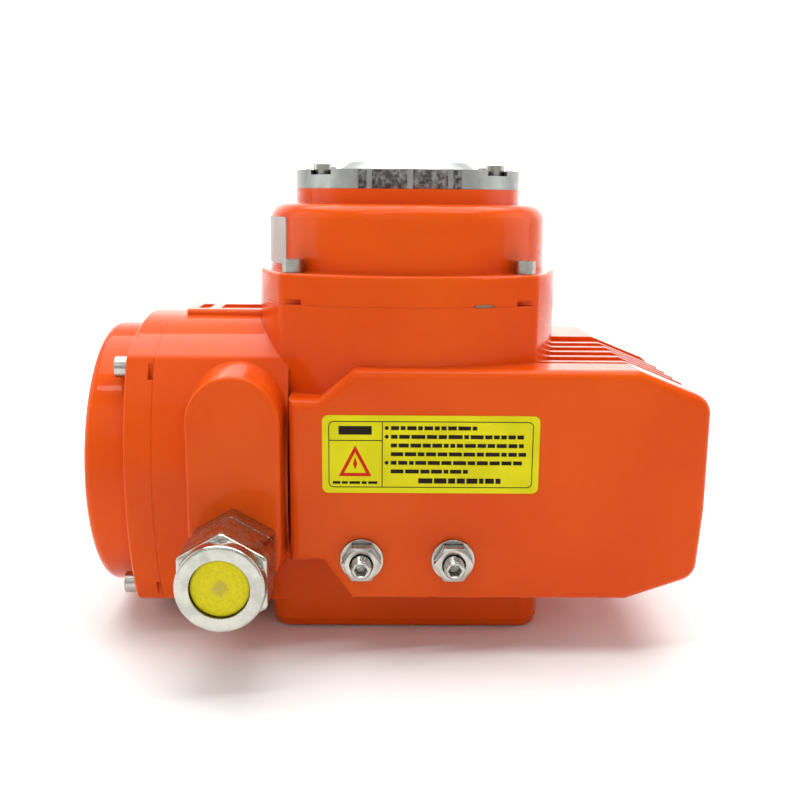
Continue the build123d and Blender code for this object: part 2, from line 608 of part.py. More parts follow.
with BuildPart() as intermediate_gear:
    spur_gear(
        across_x(40.5, *MIDDLE_AXIS), SMALL_TEETH, 10, 4.05,
        turn=bearing(WORM_AXIS, MIDDLE_AXIS) + 180 - 180 / SMALL_TEETH,
    )
    spur_gear(across_x(50.5, *MIDDLE_AXIS), LARGE_TEETH, 5, 4.05, turn=bearing(MIDDLE_AXIS, MOTOR_AXIS))
    disc(across_x(49, *MIDDLE_AXIS), 5.5, 6.5)
    disc(across_x(40, *MIDDLE_AXIS), 4.05, 20, Mode.SUBTRACT)
    disc(across_x(50, *MIDDLE_AXIS), 3.5, 6, Mode.SUBTRACT,
         [(19 * math.cos(math.radians(a)), 19 * math.sin(math.radians(a))) for a in range(0, 360, 60)])
save(intermediate_gear, "intermediate_gear")

with BuildPart() as intermediate_axle:
    disc(across_x(32, *MIDDLE_AXIS), 4.0, 28)
save(intermediate_axle, "intermediate_axle")

HAND_SLIP = (bearing(MIDDLE_AXIS, MOTOR_AXIS) - bearing(MIDDLE_AXIS, HAND_AXIS)) % (360 / LARGE_TEETH)
HAND_TURN = bearing(MIDDLE_AXIS, HAND_AXIS) + 180 - 180 / HAND_TEETH - HAND_SLIP * LARGE_TEETH / HAND_TEETH
with BuildPart() as hand_gear:
    spur_gear(across_x(50.2, *HAND_AXIS), HAND_TEETH, 5.6, 4.0, turn=HAND_TURN)
save(hand_gear, "hand_gear")

with BuildPart() as hand_shaft:
    disc(across_x(46, *HAND_AXIS), 4.0, 24)
    disc(across_x(60.3, *HAND_AXIS), 5.5, 45)
    hexagon(across_x(106, *HAND_AXIS), 6.0, -14, Mode.SUBTRACT)
save(hand_shaft, "hand_shaft")

with BuildPart() as hand_port_plug:
    disc(across_x(107.8, *HAND_AXIS), HAND_PORT_R - 0.05, 6.2)
    disc(across_x(BODY_RIGHT, *HAND_AXIS), HAND_PORT_R + 1.5, 2.2)
    fillet(hand_port_plug.edges().group_by(Axis.X)[-1], 0.8)
save(hand_port_plug, "hand_port_plug")

with BuildPart() as gear_plate:
    slab(across_x(57, 6.0, 68.25), 108, 74.5, 3)
    disc(across_x(50, *MOTOR_AXIS), 9.0, 20, Mode.SUBTRACT)
    disc(across_x(50, *HAND_AXIS), 4.05, 20, Mode.SUBTRACT)
    disc(across_x(50, *MIDDLE_AXIS), 4.0, 20, Mode.SUBTRACT)
save(gear_plate, "gear_plate")

# ---------------------------------------------------------------- motor
MOTOR_TURN = bearing(MIDDLE_AXIS, MOTOR_AXIS) + 180 - 180 / PINION_TEETH
with BuildPart() as motor_pinion:
    spur_gear(across_x(49.9, *MOTOR_AXIS), PINION_TEETH, 6.4, 3.0, turn=MOTOR_TURN)
save(motor_pinion, "motor_pinion")

with BuildPart() as motor_shaft:
    disc(across_x(49.5, *MOTOR_AXIS), 3.0, 11)
    disc(across_x(60.5, *MOTOR_AXIS), 4.0, 38)
save(motor_shaft, "motor_shaft")

with BuildPart() as motor_rotor:
    tube(across_x(66, *MOTOR_AXIS), 18.0, 4.0, 18)
    tube(across_x(64.5, *MOTOR_AXIS), 16.5, 11.0, 21)
save(motor_rotor, "motor_rotor")

with BuildPart() as motor_stator:
    tube(across_x(66, *MOTOR_AXIS), 35.0, 18.4, 18)
    with BuildSketch(across_x(65, *MOTOR_AXIS)) as slot_shape:
        with PolarLocations(24.5, 12):
            SlotCenterToCenter(5, 5)
    extrude(slot_shape.sketch, amount=20, mode=Mode.SUBTRACT)
save(motor_stator, "motor_stator")

with BuildPart() as motor_windings:
    with BuildSketch(across_x(66, *MOTOR_AXIS)) as wire_shape:
        with PolarLocations(24.5, 12):
            SlotCenterToCenter(5, 4.8)
    extrude(wire_shape.sketch, amount=18)
    tube(across_x(62.5, *MOTOR_AXIS), 29.5, 19.5, 3.5)
    tube(across_x(84, *MOTOR_AXIS), 29.5, 19.5, 3.5)
save(motor_windings, "motor_windings")

with BuildPart() as motor_front_bell:
    disc(across_x(60, *MOTOR_AXIS), 34.0, 6)
    disc(across_x(62, *MOTOR_AXIS), 31.0, 10, Mode.SUBTRACT)
    tube(across_x(60, *MOTOR_AXIS), 9.5, 8.0, 4)
    disc(across_x(59, *MOTOR_AXIS), 8.0, 10, Mode.SUBTRACT)
save(motor_front_bell, "motor_front_bell")

with BuildPart() as motor_rear_bell:
    disc(across_x(84, *MOTOR_AXIS), 32.0, 6)
    disc(across_x(90, *MOTOR_AXIS), 24.0, 12)
    disc(across_x(83, *MOTOR_AXIS), 30.0, 5.5, Mode.SUBTRACT)
    disc(across_x(83, *MOTOR_AXIS), 20.0, 10, Mode.SUBTRACT)
    disc(across_x(83, *MOTOR_AXIS), 8.0, 16, Mode.SUBTRACT)
save(motor_rear_bell, "motor_rear_bell")

with BuildPart() as motor_bearings:
    tube(across_x(60, *MOTOR_AXIS), 8.0, 6.5, 4)
    tube(across_x(60.6, *MOTOR_AXIS), 6.6, 5.2, 2.8)
    tube(across_x(60.5, *MOTOR_AXIS), 5.3, 4.05, 3.5)
    tube(across_x(93.5, *MOTOR_AXIS), 8.0, 6.5, 5)
    tube(across_x(94, *MOTOR_AXIS), 6.6, 5.2, 4)
    tube(across_x(93.5, *MOTOR_AXIS), 5.3, 4.05, 5)
save(motor_bearings, "motor_bearings")

# ---------------------------------------------------------------- travel stops
STOP_SPOTS = [(-STOP_X, STOP_Z), (STOP_X, STOP_Z)]
with BuildPart() as stop_washers:
    tube(across_y(FRONT_Y), 8.2, 4.2, 1.6, spots=STOP_SPOTS)
save(stop_washers, "stop_washers")

with BuildPart() as stop_nuts:
    hexagon(across_y(FRONT_Y - 1.6), 13.0, 5.6, spots=STOP_SPOTS, turn=30)
    disc(across_y(FRONT_Y), 7.25, 12, Mode.INTERSECT, STOP_SPOTS)
    disc(across_y(FRONT_Y), 4.0, 12, Mode.SUBTRACT, STOP_SPOTS)
save(stop_nuts, "stop_nuts")


def stop_screw(x):
    """A long grub screw with a hexagon socket in its outer end."""
    with BuildPart() as screw:
        tip = -STOP_FACE - STOP_GAP
        disc(across_y(tip, x, STOP_Z), 3.92, tip - STOP_TIP_Y)
        chamfer(screw.edges().group_by(Axis.Y)[0], 0.7)
        hexagon(across_y(STOP_TIP_Y, x, STOP_Z), 4.2, -5, Mode.SUBTRACT)
    return screw


stop_screw_left = stop_screw(-STOP_X)
save(stop_screw_left, "stop_screw_left")
stop_screw_right = stop_screw(STOP_X)
save(stop_screw_right, "stop_screw_right")

# ---------------------------------------------------------------- cable gland
with BuildPart() as gland_body:
    disc(across_y(-57, GLAND_X, GLAND_Z), ENTRY_R - 0.05, 14)
    hexagon(across_y(BOSS_Y, GLAND_X, GLAND_Z), 31.5, 9.5, turn=30, corner=3)
    disc(across_y(BOSS_Y - 9.5, GLAND_X, GLAND_Z), 12.0, 8.5)
    disc(across_y(-50, GLAND_X, GLAND_Z), 8.5, 50, Mode.SUBTRACT)
save(gland_body, "gland_body")

with BuildPart() as gland_seal:
    tube(across_y(-89.2, GLAND_X, GLAND_Z), 10.6, 6.0, 6.3)
save(gland_seal, "gland_seal")

with BuildPart() as gland_cap:
    hexagon(across_y(-82, GLAND_X, GLAND_Z), 32.0, 19, turn=30, corner=2.5)
    fillet(gland_cap.edges().group_by(Axis.Y)[0], 1.4)
    disc(across_y(-100.8, GLAND_X, GLAND_Z), 15.9, 5.8)
    fillet(gland_cap.edges().group_by(Axis.Y)[0], 1.2)
    disc(across_y(-81, GLAND_X, GLAND_Z), 12.05, 14.6, Mode.SUBTRACT)
    disc(across_y(-90, GLAND_X, GLAND_Z), 10.7, 30, Mode.SUBTRACT)
save(gland_cap, "gland_cap")

with BuildPart() as blanking_disc:
    disc(across_y(-95.6, GLAND_X, GLAND_Z), 10.6, 9.4)
    fillet(blanking_disc.edges().group_by(Axis.Y)[0], 0.6)
save(blanking_disc, "blanking_disc")

# ---------------------------------------------------------------- switch deck
DECK_TOP = DECK_Z + DECK_THICK
with BuildPart() as camshaft:
    disc(Plane.XY.offset(DECK_TOP - 11), 4.0, 95)
save(camshaft, "camshaft")


def cam(z, lobe_from):
    """A round cam with a raised lobe over a sixth of its rim."""
    with BuildPart() as shape:
        with BuildSketch(Plane.XY.offset(z)) as rim:
            Circle(16.0)
            with BuildLine():
                Line((0, 0), (40 * math.cos(lobe_from), 40 * math.sin(lobe_from)))
                Line((40 * math.cos(lobe_from), 40 * math.sin(lobe_from)),
                     (40 * math.cos(lobe_from + 1), 40 * math.sin(lobe_from + 1)))
                Line((40 * math.cos(lobe_from + 1), 40 * math.sin(lobe_from + 1)), (0, 0))
            make_face()
            Circle(16.0, mode=Mode.INTERSECT)
            Circle(14.2)
        extrude(rim.sketch, amount=5)
        tube(Plane.XY.offset(z), 8.0, 4.0, 7.5)
        disc(Plane.XY.offset(z - 1), 4.0, 20, Mode.SUBTRACT)
    return shape


cam_open = cam(117.0, math.radians(60))
save(cam_open, "cam_open")
cam_close = cam(128.5, math.radians(160))
save(cam_close, "cam_close")

with BuildPart() as position_indicator:
    disc(Plane.XY.offset(DECK_TOP + 84 - 7), 15.0, 5.0)
    tube(Plane.XY.offset(DECK_TOP + 84 - 15), 7.5, 4.0, 8.5)
    disc(Plane.XY.offset(DECK_TOP + 40), 4.0, 80, Mode.SUBTRACT)
    slab(Plane.XY.offset(DECK_TOP + 84 - 2.6), 23, 5.0, 1.2)
    disc(Plane.XY.offset(DECK_TOP + 40), 4.0, 80, Mode.SUBTRACT)
save(position_indicator, "position_indicator")

with BuildPart() as switch_bracket:
    slab(Plane.XY.offset(DECK_TOP), 24, 34, 2, spots=[(29, 0)])
    slab(Plane.XY.offset(DECK_TOP), 2, 34, 46, spots=[(40, 0)])
save(switch_bracket, "switch_bracket")

with BuildPart() as switch_bodies:
    for switch_z in (114.4, 125.9):
        slab(Plane.XY.offset(switch_z), 16, 28, 10.3, spots=[(31, 0)])
        slab(Plane.XY.offset(switch_z + 3.6), 2, 3, 3, spots=[(22.2, -5)])
save(switch_bodies, "switch_bodies")


def lever(z):
    """A sprung switch lever with a roller at its free end."""
    with BuildPart() as arm:
        slab(Plane.XY.offset(z + 1.6), 0.6, 22, 4.4, spots=[(20.4, -0.5)])
        disc(Plane.XY.offset(z + 1.6), 2.0, 4.4, spots=[(19.4, 9.0)])
        disc(Plane.XY.offset(z + 1.6), 0.9, 4.4, spots=[(20.6, -11.5)])
    return arm


lever_open = lever(115.5)
save(lever_open, "lever_open")
lever_close = lever(127.0)
save(lever_close, "lever_close")

# ---------------------------------------------------------------- terminals
with BuildPart() as terminal_block:
    slab(across_x(BOX_INNER_X, 0, 68), 64, 30, -9)
    slab(across_x(BOX_INNER_X - 9, 0, 68), 64, 10, -7)
    for rib_y in range(-32, 33, 8):
        slab(across_x(BOX_INNER_X - 9, rib_y * 0.98, 68), 1.2, 30, -7)
save(terminal_block, "terminal_block")

TERMINAL_SPOTS = [(y, z) for y in range(-28, 29, 8) for z in (-10, 10)]
with BuildPart() as terminal_screws:
    disc(across_x(BOX_INNER_X - 9, 0, 68), 2.6, -2.4, spots=TERMINAL_SPOTS)
    slab(across_x(BOX_INNER_X - 11.4, 0, 68), 4.0, 0.8, 1.0, Mode.SUBTRACT, TERMINAL_SPOTS)
save(terminal_screws, "terminal_screws")

with BuildPart() as capacitor:
    disc(across_y(20, BOX_INNER_X - 12.0, 34), 12.0, 36)
    fillet(capacitor.edges().group_by(Axis.Y)[-1], 1.5)
    slab(across_y(-16, BOX_INNER_X - 12.0, 34), 6.3, 0.8, 6, spots=[(-5, 0), (5, 0)])
save(capacitor, "capacitor")

# ---------------------------------------------------------------- labels
with BuildPart() as rating_label:
    with BuildSketch(across_y(FRONT_Y)) as label_shape:
        with Locations((8.4, 81.4)):
            RectangleRounded(81.6, 30.0, 2.4)
    extrude(label_shape.sketch, amount=0.35)
save(rating_label, "rating_label")

with BuildPart() as blank_sticker:
    tube(Plane.XY.offset(149.5), DOME_R + 0.3, DOME_R, 18.5)
    with BuildSketch(Plane.XY.offset(149)) as wedge_shape:
        with BuildLine():
            Polyline((0, 0), (-80, 12), (-80, -52), close=True)
        make_face()
    extrude(wedge_shape.sketch, amount=30, mode=Mode.INTERSECT)
save(blank_sticker, "blank_sticker")
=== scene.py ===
"""The looks of the motorized valve actuator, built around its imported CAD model.

Everything is in metres, in the model's own frame: +Z is the output shaft, -Y the side with the label.
"""
import json
import math
import random

import bmesh
import bpy
from mathutils import Matrix, Vector

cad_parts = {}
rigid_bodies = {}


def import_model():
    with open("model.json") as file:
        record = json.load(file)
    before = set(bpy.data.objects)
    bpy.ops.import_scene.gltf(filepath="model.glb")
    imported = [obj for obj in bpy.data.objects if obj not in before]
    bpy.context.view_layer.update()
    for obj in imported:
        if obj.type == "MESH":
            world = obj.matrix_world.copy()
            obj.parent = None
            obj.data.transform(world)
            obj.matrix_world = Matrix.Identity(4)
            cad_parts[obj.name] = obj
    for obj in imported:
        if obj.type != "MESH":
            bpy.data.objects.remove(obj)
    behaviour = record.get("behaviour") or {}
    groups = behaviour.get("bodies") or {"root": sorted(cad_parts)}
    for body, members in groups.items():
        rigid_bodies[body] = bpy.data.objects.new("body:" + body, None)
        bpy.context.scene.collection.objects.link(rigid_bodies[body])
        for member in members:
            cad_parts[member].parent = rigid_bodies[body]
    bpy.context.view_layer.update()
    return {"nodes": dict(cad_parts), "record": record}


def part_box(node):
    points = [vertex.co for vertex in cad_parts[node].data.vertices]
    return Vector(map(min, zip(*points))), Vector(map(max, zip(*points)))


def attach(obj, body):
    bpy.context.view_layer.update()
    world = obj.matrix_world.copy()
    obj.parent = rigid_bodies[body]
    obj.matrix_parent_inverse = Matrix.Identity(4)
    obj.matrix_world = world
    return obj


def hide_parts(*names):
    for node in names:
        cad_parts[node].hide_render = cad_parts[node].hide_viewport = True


MM = 0.001
AROUND = 96  # points round a turned ring, a multiple of 6 so that hexagon corners are met

# ---------------------------------------------------------------- scene and frame
for leftover in list(bpy.data.objects):
    bpy.data.objects.remove(leftover)
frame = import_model()
NODES = frame["nodes"]


# ---------------------------------------------------------------- shader helpers
def add_node(tree, kind, inputs=None, **settings):
    """Adds a node, sets its properties, and fills or links its inputs."""
    node = tree.nodes.new(kind)
    for name, value in settings.items():
        setattr(node, name, value)
    for name, value in (inputs or {}).items():
        if isinstance(value, bpy.types.NodeSocket):
            tree.links.new(value, node.inputs[name])
        else:
            node.inputs[name].default_value = value
    return node


def start_material(name, color, metallic=0.0, roughness=0.5, **sockets):
    """A new material with its Principled shader; further socket values go by name."""
    material = bpy.data.materials.new(name)
    material.use_nodes = True
    shader = material.node_tree.nodes["Principled BSDF"]
    shader.inputs["Base Color"].default_value = (*color, 1.0)
    shader.inputs["Metallic"].default_value = metallic
    shader.inputs["Roughness"].default_value = roughness
    for key, value in sockets.items():
        shader.inputs[key.replace("_", " ")].default_value = value
    return material, material.node_tree, shader


def object_place(tree):
    """The point on the surface, in the model's frame at rest."""
    return add_node(tree, "ShaderNodeTexCoord").outputs["Object"]


def split(tree, vector):
    """The X, Y and Z of a vector."""
    return add_node(tree, "ShaderNodeSeparateXYZ", {"Vector": vector}).outputs


def noise(tree, place, grain, detail=2.0, harsh=0.5):
    """Soft noise whose patches are about as large as grain, in metres."""
    inputs = {"Vector": place, "Scale": 1 / grain, "Detail": detail, "Roughness": harsh}
    return add_node(tree, "ShaderNodeTexNoise", inputs).outputs["Fac"]


def stretched(tree, place, scale):
    """The same place, stretched along the axes."""
    return add_node(tree, "ShaderNodeMapping", {"Vector": place, "Scale": scale}).outputs["Vector"]


def math_node(tree, operation, first, second=0.0):
    """One sum of two values."""
    return add_node(tree, "ShaderNodeMath", {0: first, 1: second}, operation=operation).outputs[0]


def spread(tree, value, low, high, to_low=0.0, to_high=1.0):
    """Takes value from the range low..high to the range to_low..to_high."""
    inputs = {"Value": value, "From Min": low, "From Max": high, "To Min": to_low, "To Max": to_high}
    node = add_node(tree, "ShaderNodeMapRange", inputs, interpolation_type="SMOOTHSTEP")
    return node.outputs["Result"]


def mixed(tree, share, first, second):
    """A colour between first and second."""
    node = add_node(tree, "ShaderNodeMix", {0: share}, data_type="RGBA")
    for index, color in ((6, first), (7, second)):
        if isinstance(color, bpy.types.NodeSocket):
            tree.links.new(color, node.inputs[index])
        else:
            node.inputs[index].default_value = (*color, 1.0)
    return node.outputs[2]


def openness(tree, reach):
    """1 on open faces, down to 0 where walls closer than reach stand all round."""
    node = add_node(tree, "ShaderNodeAmbientOcclusion", {"Distance": reach}, samples=8)
    return node.outputs["AO"]


def relief(tree, shader, layers, edge=0.0):
    """Bumps on the surface, each a (height, depth in metres) pair, over edges softened by a radius."""
    normal = None
    if edge:
        normal = add_node(tree, "ShaderNodeBevel", {"Radius": edge}, samples=4).outputs["Normal"]
    for height, depth in layers:
        inputs = {"Height": height, "Distance": depth, "Strength": 1.0}
        if normal is not None:
            inputs["Normal"] = normal
        normal = add_node(tree, "ShaderNodeBump", inputs).outputs["Normal"]
    tree.links.new(normal, shader.inputs["Normal"])


def radius_from(tree, first, second, centre):
    """Distance from an axis, given two of the place's parts and the axis in them."""
    a = math_node(tree, "SUBTRACT", first, centre[0])
    b = math_node(tree, "SUBTRACT", second, centre[1])
    squares = math_node(tree, "ADD", math_node(tree, "MULTIPLY", a, a), math_node(tree, "MULTIPLY", b, b))
    return math_node(tree, "SQRT", squares)


# ---------------------------------------------------------------- materials
PAINT = (0.72, 0.086, 0.005)
PAINT_DEEP = (0.67, 0.068, 0.004)
BARE_PATCH = (0.30, 0.17, 0.11)
CHIP_RIM = (0.10, 0.035, 0.02)
CHIP_CENTRE = (28 * MM, 136.2 * MM)
CHIP_HALF = (7 * MM, 1.2 * MM)
CHIP_FRONT_Y = (-55 * MM, -57 * MM)
PEEL_GRAIN = 1.6 * MM
WAVE_GRAIN = 22 * MM


def casing_paint():
    """Glossy orange powder coat: fine orange peel over a slightly wavy casting, chipped at one joint."""
    material, tree, shader = start_material("casing_paint", PAINT, roughness=0.24, IOR=1.12, Coat_Weight=0.8)
    shader.inputs["Coat Roughness"].default_value = 0.05
    shader.inputs["Coat IOR"].default_value = 1.2
    place = object_place(tree)
    patches = noise(tree, place, 60 * MM, 3.0)
    color = mixed(tree, spread(tree, patches, 0.35, 0.7), PAINT, PAINT_DEEP)
    parts = split(tree, place)
    ragged = noise(tree, place, 1.5 * MM, 5.0, 0.75)
    across = math_node(tree, "ABSOLUTE", math_node(tree, "SUBTRACT", parts["X"], CHIP_CENTRE[0]))
    upward = math_node(tree, "ABSOLUTE", math_node(tree, "SUBTRACT", parts["Z"], CHIP_CENTRE[1]))
    across_share = spread(tree, across, CHIP_HALF[0], 0.0)
    upward_share = spread(tree, upward, CHIP_HALF[1], 0.0)
    front_share = spread(tree, parts["Y"], *CHIP_FRONT_Y)
    facing = math_node(tree, "MULTIPLY", across_share, upward_share)
    inside = math_node(tree, "MULTIPLY", facing, front_share)
    eaten = math_node(tree, "MULTIPLY", inside, ragged)
    chip = spread(tree, eaten, 0.16, 0.19)
    patch = mixed(tree, spread(tree, eaten, 0.20, 0.27), CHIP_RIM, BARE_PATCH)
    color = mixed(tree, chip, color, patch)
    tree.links.new(color, shader.inputs["Base Color"])
    paint_dull = spread(tree, patches, 0.3, 0.7, 0.20, 0.30)
    chip_dull = spread(tree, chip, 0, 1, 0, 0.4)
    tree.links.new(math_node(tree, "ADD", paint_dull, chip_dull), shader.inputs["Roughness"])
    peel = noise(tree, place, PEEL_GRAIN, 1.0)
    waves = noise(tree, place, WAVE_GRAIN, 1.0)
    worn = spread(tree, chip, 0, 1, 1, 0)
    relief(tree, shader, [(waves, 0.5 * MM), (peel, 0.012 * MM), (worn, 0.12 * MM)], edge=0.9 * MM)
    return material


POCKET_EDGE = (0.25 * MM, 0.5 * MM)
POCKET_TOP = (7.3 * MM, 7.1 * MM)
TURNING_PITCH = 0.5 * MM


def bare_casting():
    """Cast aluminium: turned satin faces outside, rough and dark in the pockets of the window ring."""
    material, tree, shader = start_material("bare_casting", (0.60, 0.61, 0.59), 1.0, 0.4)
    place = object_place(tree)
    parts = split(tree, place)
    reach = radius_from(tree, parts["X"], parts["Y"], (0.0, 0.0))
    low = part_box("window_ring")[0]
    pocket = math_node(
        tree, "MULTIPLY",
        spread(tree, reach, -low.x - POCKET_EDGE[0], -low.x - POCKET_EDGE[1]),
        spread(tree, parts["Z"], low.z + POCKET_TOP[0], low.z + POCKET_TOP[1]),
    )
    speckle = noise(tree, place, 2.4 * MM, 4.0, 0.65)
    blotch = noise(tree, place, 6 * MM, 3.0, 0.6)
    satin = mixed(tree, spread(tree, blotch, 0.3, 0.7), (0.40, 0.41, 0.39), (0.32, 0.33, 0.32))
    rough_skin = mixed(tree, spread(tree, speckle, 0.38, 0.66), (0.085, 0.088, 0.090), (0.36, 0.37, 0.36))
    tree.links.new(mixed(tree, pocket, satin, rough_skin), shader.inputs["Base Color"])
    tree.links.new(spread(tree, pocket, 0, 1, 0.36, 0.62), shader.inputs["Roughness"])
    rings = math_node(tree, "SINE", math_node(tree, "MULTIPLY", reach, 2 * math.pi / TURNING_PITCH))
    fine = noise(tree, place, 0.5 * MM, 2.0)
    skin = math_node(tree, "MULTIPLY", speckle, spread(tree, pocket, 0, 1, 0.12, 1.0))
    relief(tree, shader, [(skin, 0.45 * MM), (rings, 0.002 * MM), (fine, 0.02 * MM)], edge=0.35 * MM)
    return material


CREVICE_REACH = 2.5 * MM


def bright_metal(name, color, roughness, scratch_depth=0.004 * MM, edge=0.25 * MM):
    """Bare or plated metal with fine scratches, faint smears and rounded edges, with painted shade darkening
    its crevices.
    """
    material, tree, shader = start_material(name, color, 1.0, roughness)
    place = object_place(tree)
    smear = noise(tree, place, 7 * MM, 3.0, 0.6)
    shade = tuple(c * 0.80 for c in color)
    # painted shade: the colour falls to 6 percent where nearby walls close in, standing in for the shade in
    # crevices and sockets
    painted_crevice_shade = tuple(c * 0.06 for c in color)
    face = mixed(tree, spread(tree, smear, 0.35, 0.7), color, shade)
    open_share = spread(tree, openness(tree, CREVICE_REACH), 0.25, 0.75)
    tree.links.new(mixed(tree, open_share, painted_crevice_shade, face), shader.inputs["Base Color"])
    low, high = roughness * 0.75, roughness * 1.5
    tree.links.new(spread(tree, smear, 0.3, 0.7, low, high), shader.inputs["Roughness"])
    scratch = noise(tree, stretched(tree, place, (1.0, 9.0, 2.0)), 1.4 * MM, 3.0, 0.7)
    relief(tree, shader, [(scratch, scratch_depth)], edge=edge)
    return material


def stacked_steel():
    """Motor laminations: thin sheets seen from the edge."""
    material, tree, shader = start_material("lamination", (0.30, 0.31, 0.33), 0.9, 0.45)
    place = object_place(tree)
    along = split(tree, place)["X"]
    sheets = math_node(tree, "SINE", math_node(tree, "MULTIPLY", along, 2 * math.pi / (0.5 * MM)))
    patch = noise(tree, place, 5 * MM, 3.0)
    color = mixed(tree, spread(tree, patch, 0.3, 0.7), (0.34, 0.35, 0.37), (0.20, 0.21, 0.24))
    tree.links.new(color, shader.inputs["Base Color"])
    relief(tree, shader, [(sheets, 0.02 * MM)])
    return material


def copper_wire():
    """Enamelled copper winding: strands round the coil."""
    material, tree, shader = start_material("copper", (0.58, 0.20, 0.06), 0.8, 0.3)
    place = object_place(tree)
    parts = split(tree, place)
    low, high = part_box("motor_windings")
    centre = ((low.y + high.y) / 2, (low.z + high.z) / 2)
    reach = radius_from(tree, parts["Y"], parts["Z"], centre)
    both = math_node(tree, "ADD", reach, parts["X"])
    strands = math_node(tree, "SINE", math_node(tree, "MULTIPLY", both, 2 * math.pi / (0.7 * MM)))
    patch = noise(tree, place, 4 * MM, 3.0)
    color = mixed(tree, spread(tree, patch, 0.3, 0.7), (0.66, 0.25, 0.08), (0.42, 0.12, 0.04))
    tree.links.new(color, shader.inputs["Base Color"])
    relief(tree, shader, [(strands, 0.08 * MM)])
    return material


def iron():
    """Grey iron, machined and a little stained."""
    material, tree, shader = start_material("cast_iron", (0.28, 0.28, 0.28), 0.85, 0.5)
    place = object_place(tree)
    grain = noise(tree, place, 1.2 * MM, 4.0, 0.7)
    color = mixed(tree, spread(tree, grain, 0.3, 0.7), (0.33, 0.33, 0.33), (0.19, 0.18, 0.17))
    tree.links.new(color, shader.inputs["Base Color"])
    relief(tree, shader, [(grain, 0.06 * MM)], edge=0.3 * MM)
    return material


def moulded(name, color, roughness, grain_depth, edge=0.3 * MM, **sockets):
    """Moulded plastic or rubber with a fine skin and slight shade changes."""
    material, tree, shader = start_material(name, color, 0.0, roughness, **sockets)
    place = object_place(tree)
    patch = noise(tree, place, 9 * MM, 3.0)
    shade = tuple(c * 0.82 for c in color)
    tree.links.new(mixed(tree, spread(tree, patch, 0.3, 0.75), color, shade), shader.inputs["Base Color"])
    dull = spread(tree, patch, 0.3, 0.7, roughness * 0.85, roughness * 1.2)
    tree.links.new(dull, shader.inputs["Roughness"])
    skin = noise(tree, place, 0.6 * MM, 3.0, 0.6)
    relief(tree, shader, [(skin, grain_depth)], edge=edge)
    return material


YELLOW = (0.74, 0.65, 0.004)
WORN_R = 3.1 * MM


def yellow_disc():
    """The moulded disc in the cable entry, with faint turning rings, a rubbed, dirty middle and painted
    shade darkening its rim.
    """
    material, tree, shader = start_material("yellow_plastic", YELLOW, 0.0, 0.45, IOR=1.3)
    place = object_place(tree)
    parts = split(tree, place)
    low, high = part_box("blanking_disc")
    reach = radius_from(tree, parts["X"], parts["Z"], ((low.x + high.x) / 2, (low.z + high.z) / 2))
    dirt = noise(tree, place, 1.5 * MM, 4.0, 0.7)
    ragged = math_node(tree, "ADD", reach, spread(tree, dirt, 0.3, 0.7, -1.7 * MM, 1.7 * MM))
    rubbed = spread(tree, ragged, WORN_R, WORN_R - 1.2 * MM, 0.0, 0.62)
    tone = mixed(tree, spread(tree, dirt, 0.3, 0.8), YELLOW, (0.56, 0.47, 0.004))
    # painted shade: the rim is darkened towards brown where the cap's mouth walls it in
    painted_rim_shade = spread(tree, reach, 9.4 * MM, 10.6 * MM, 0.0, 0.5)
    tone = mixed(tree, painted_rim_shade, tone, (0.26, 0.20, 0.004))
    tree.links.new(mixed(tree, rubbed, tone, (0.42, 0.30, 0.09)), shader.inputs["Base Color"])
    rings = math_node(tree, "SINE", math_node(tree, "MULTIPLY", reach, 2 * math.pi / (1.3 * MM)))
    relief(tree, shader, [(rings, 0.02 * MM), (dirt, 0.08 * MM)], edge=0.3 * MM)
    return material


def clear_glass():
    """Toughened glass of the sight window, with a faint haze."""
    material, tree, shader = start_material("window_glass", (0.90, 0.95, 0.94), 0.0, 0.03, IOR=1.5)
    shader.inputs["Transmission Weight"].default_value = 1.0
    haze = noise(tree, object_place(tree), 12 * MM, 3.0)
    tree.links.new(spread(tree, haze, 0.3, 0.8, 0.01, 0.09), shader.inputs["Roughness"])
    return material


def film(name, color, roughness):
    """Printed or plain adhesive film, slightly uneven where it lies on the casting."""
    material, tree, shader = start_material(name, color, 0.0, roughness, IOR=1.25)
    place = object_place(tree)
    patch = noise(tree, place, 14 * MM, 2.0)
    shade = tuple(c * 0.9 for c in color)
    tree.links.new(mixed(tree, spread(tree, patch, 0.35, 0.7), color, shade), shader.inputs["Base Color"])
    dull = spread(tree, patch, 0.3, 0.7, roughness * 0.8, roughness * 1.2)
    tree.links.new(dull, shader.inputs["Roughness"])
    relief(tree, shader, [(patch, 0.12 * MM)], edge=0.12 * MM)
    return material


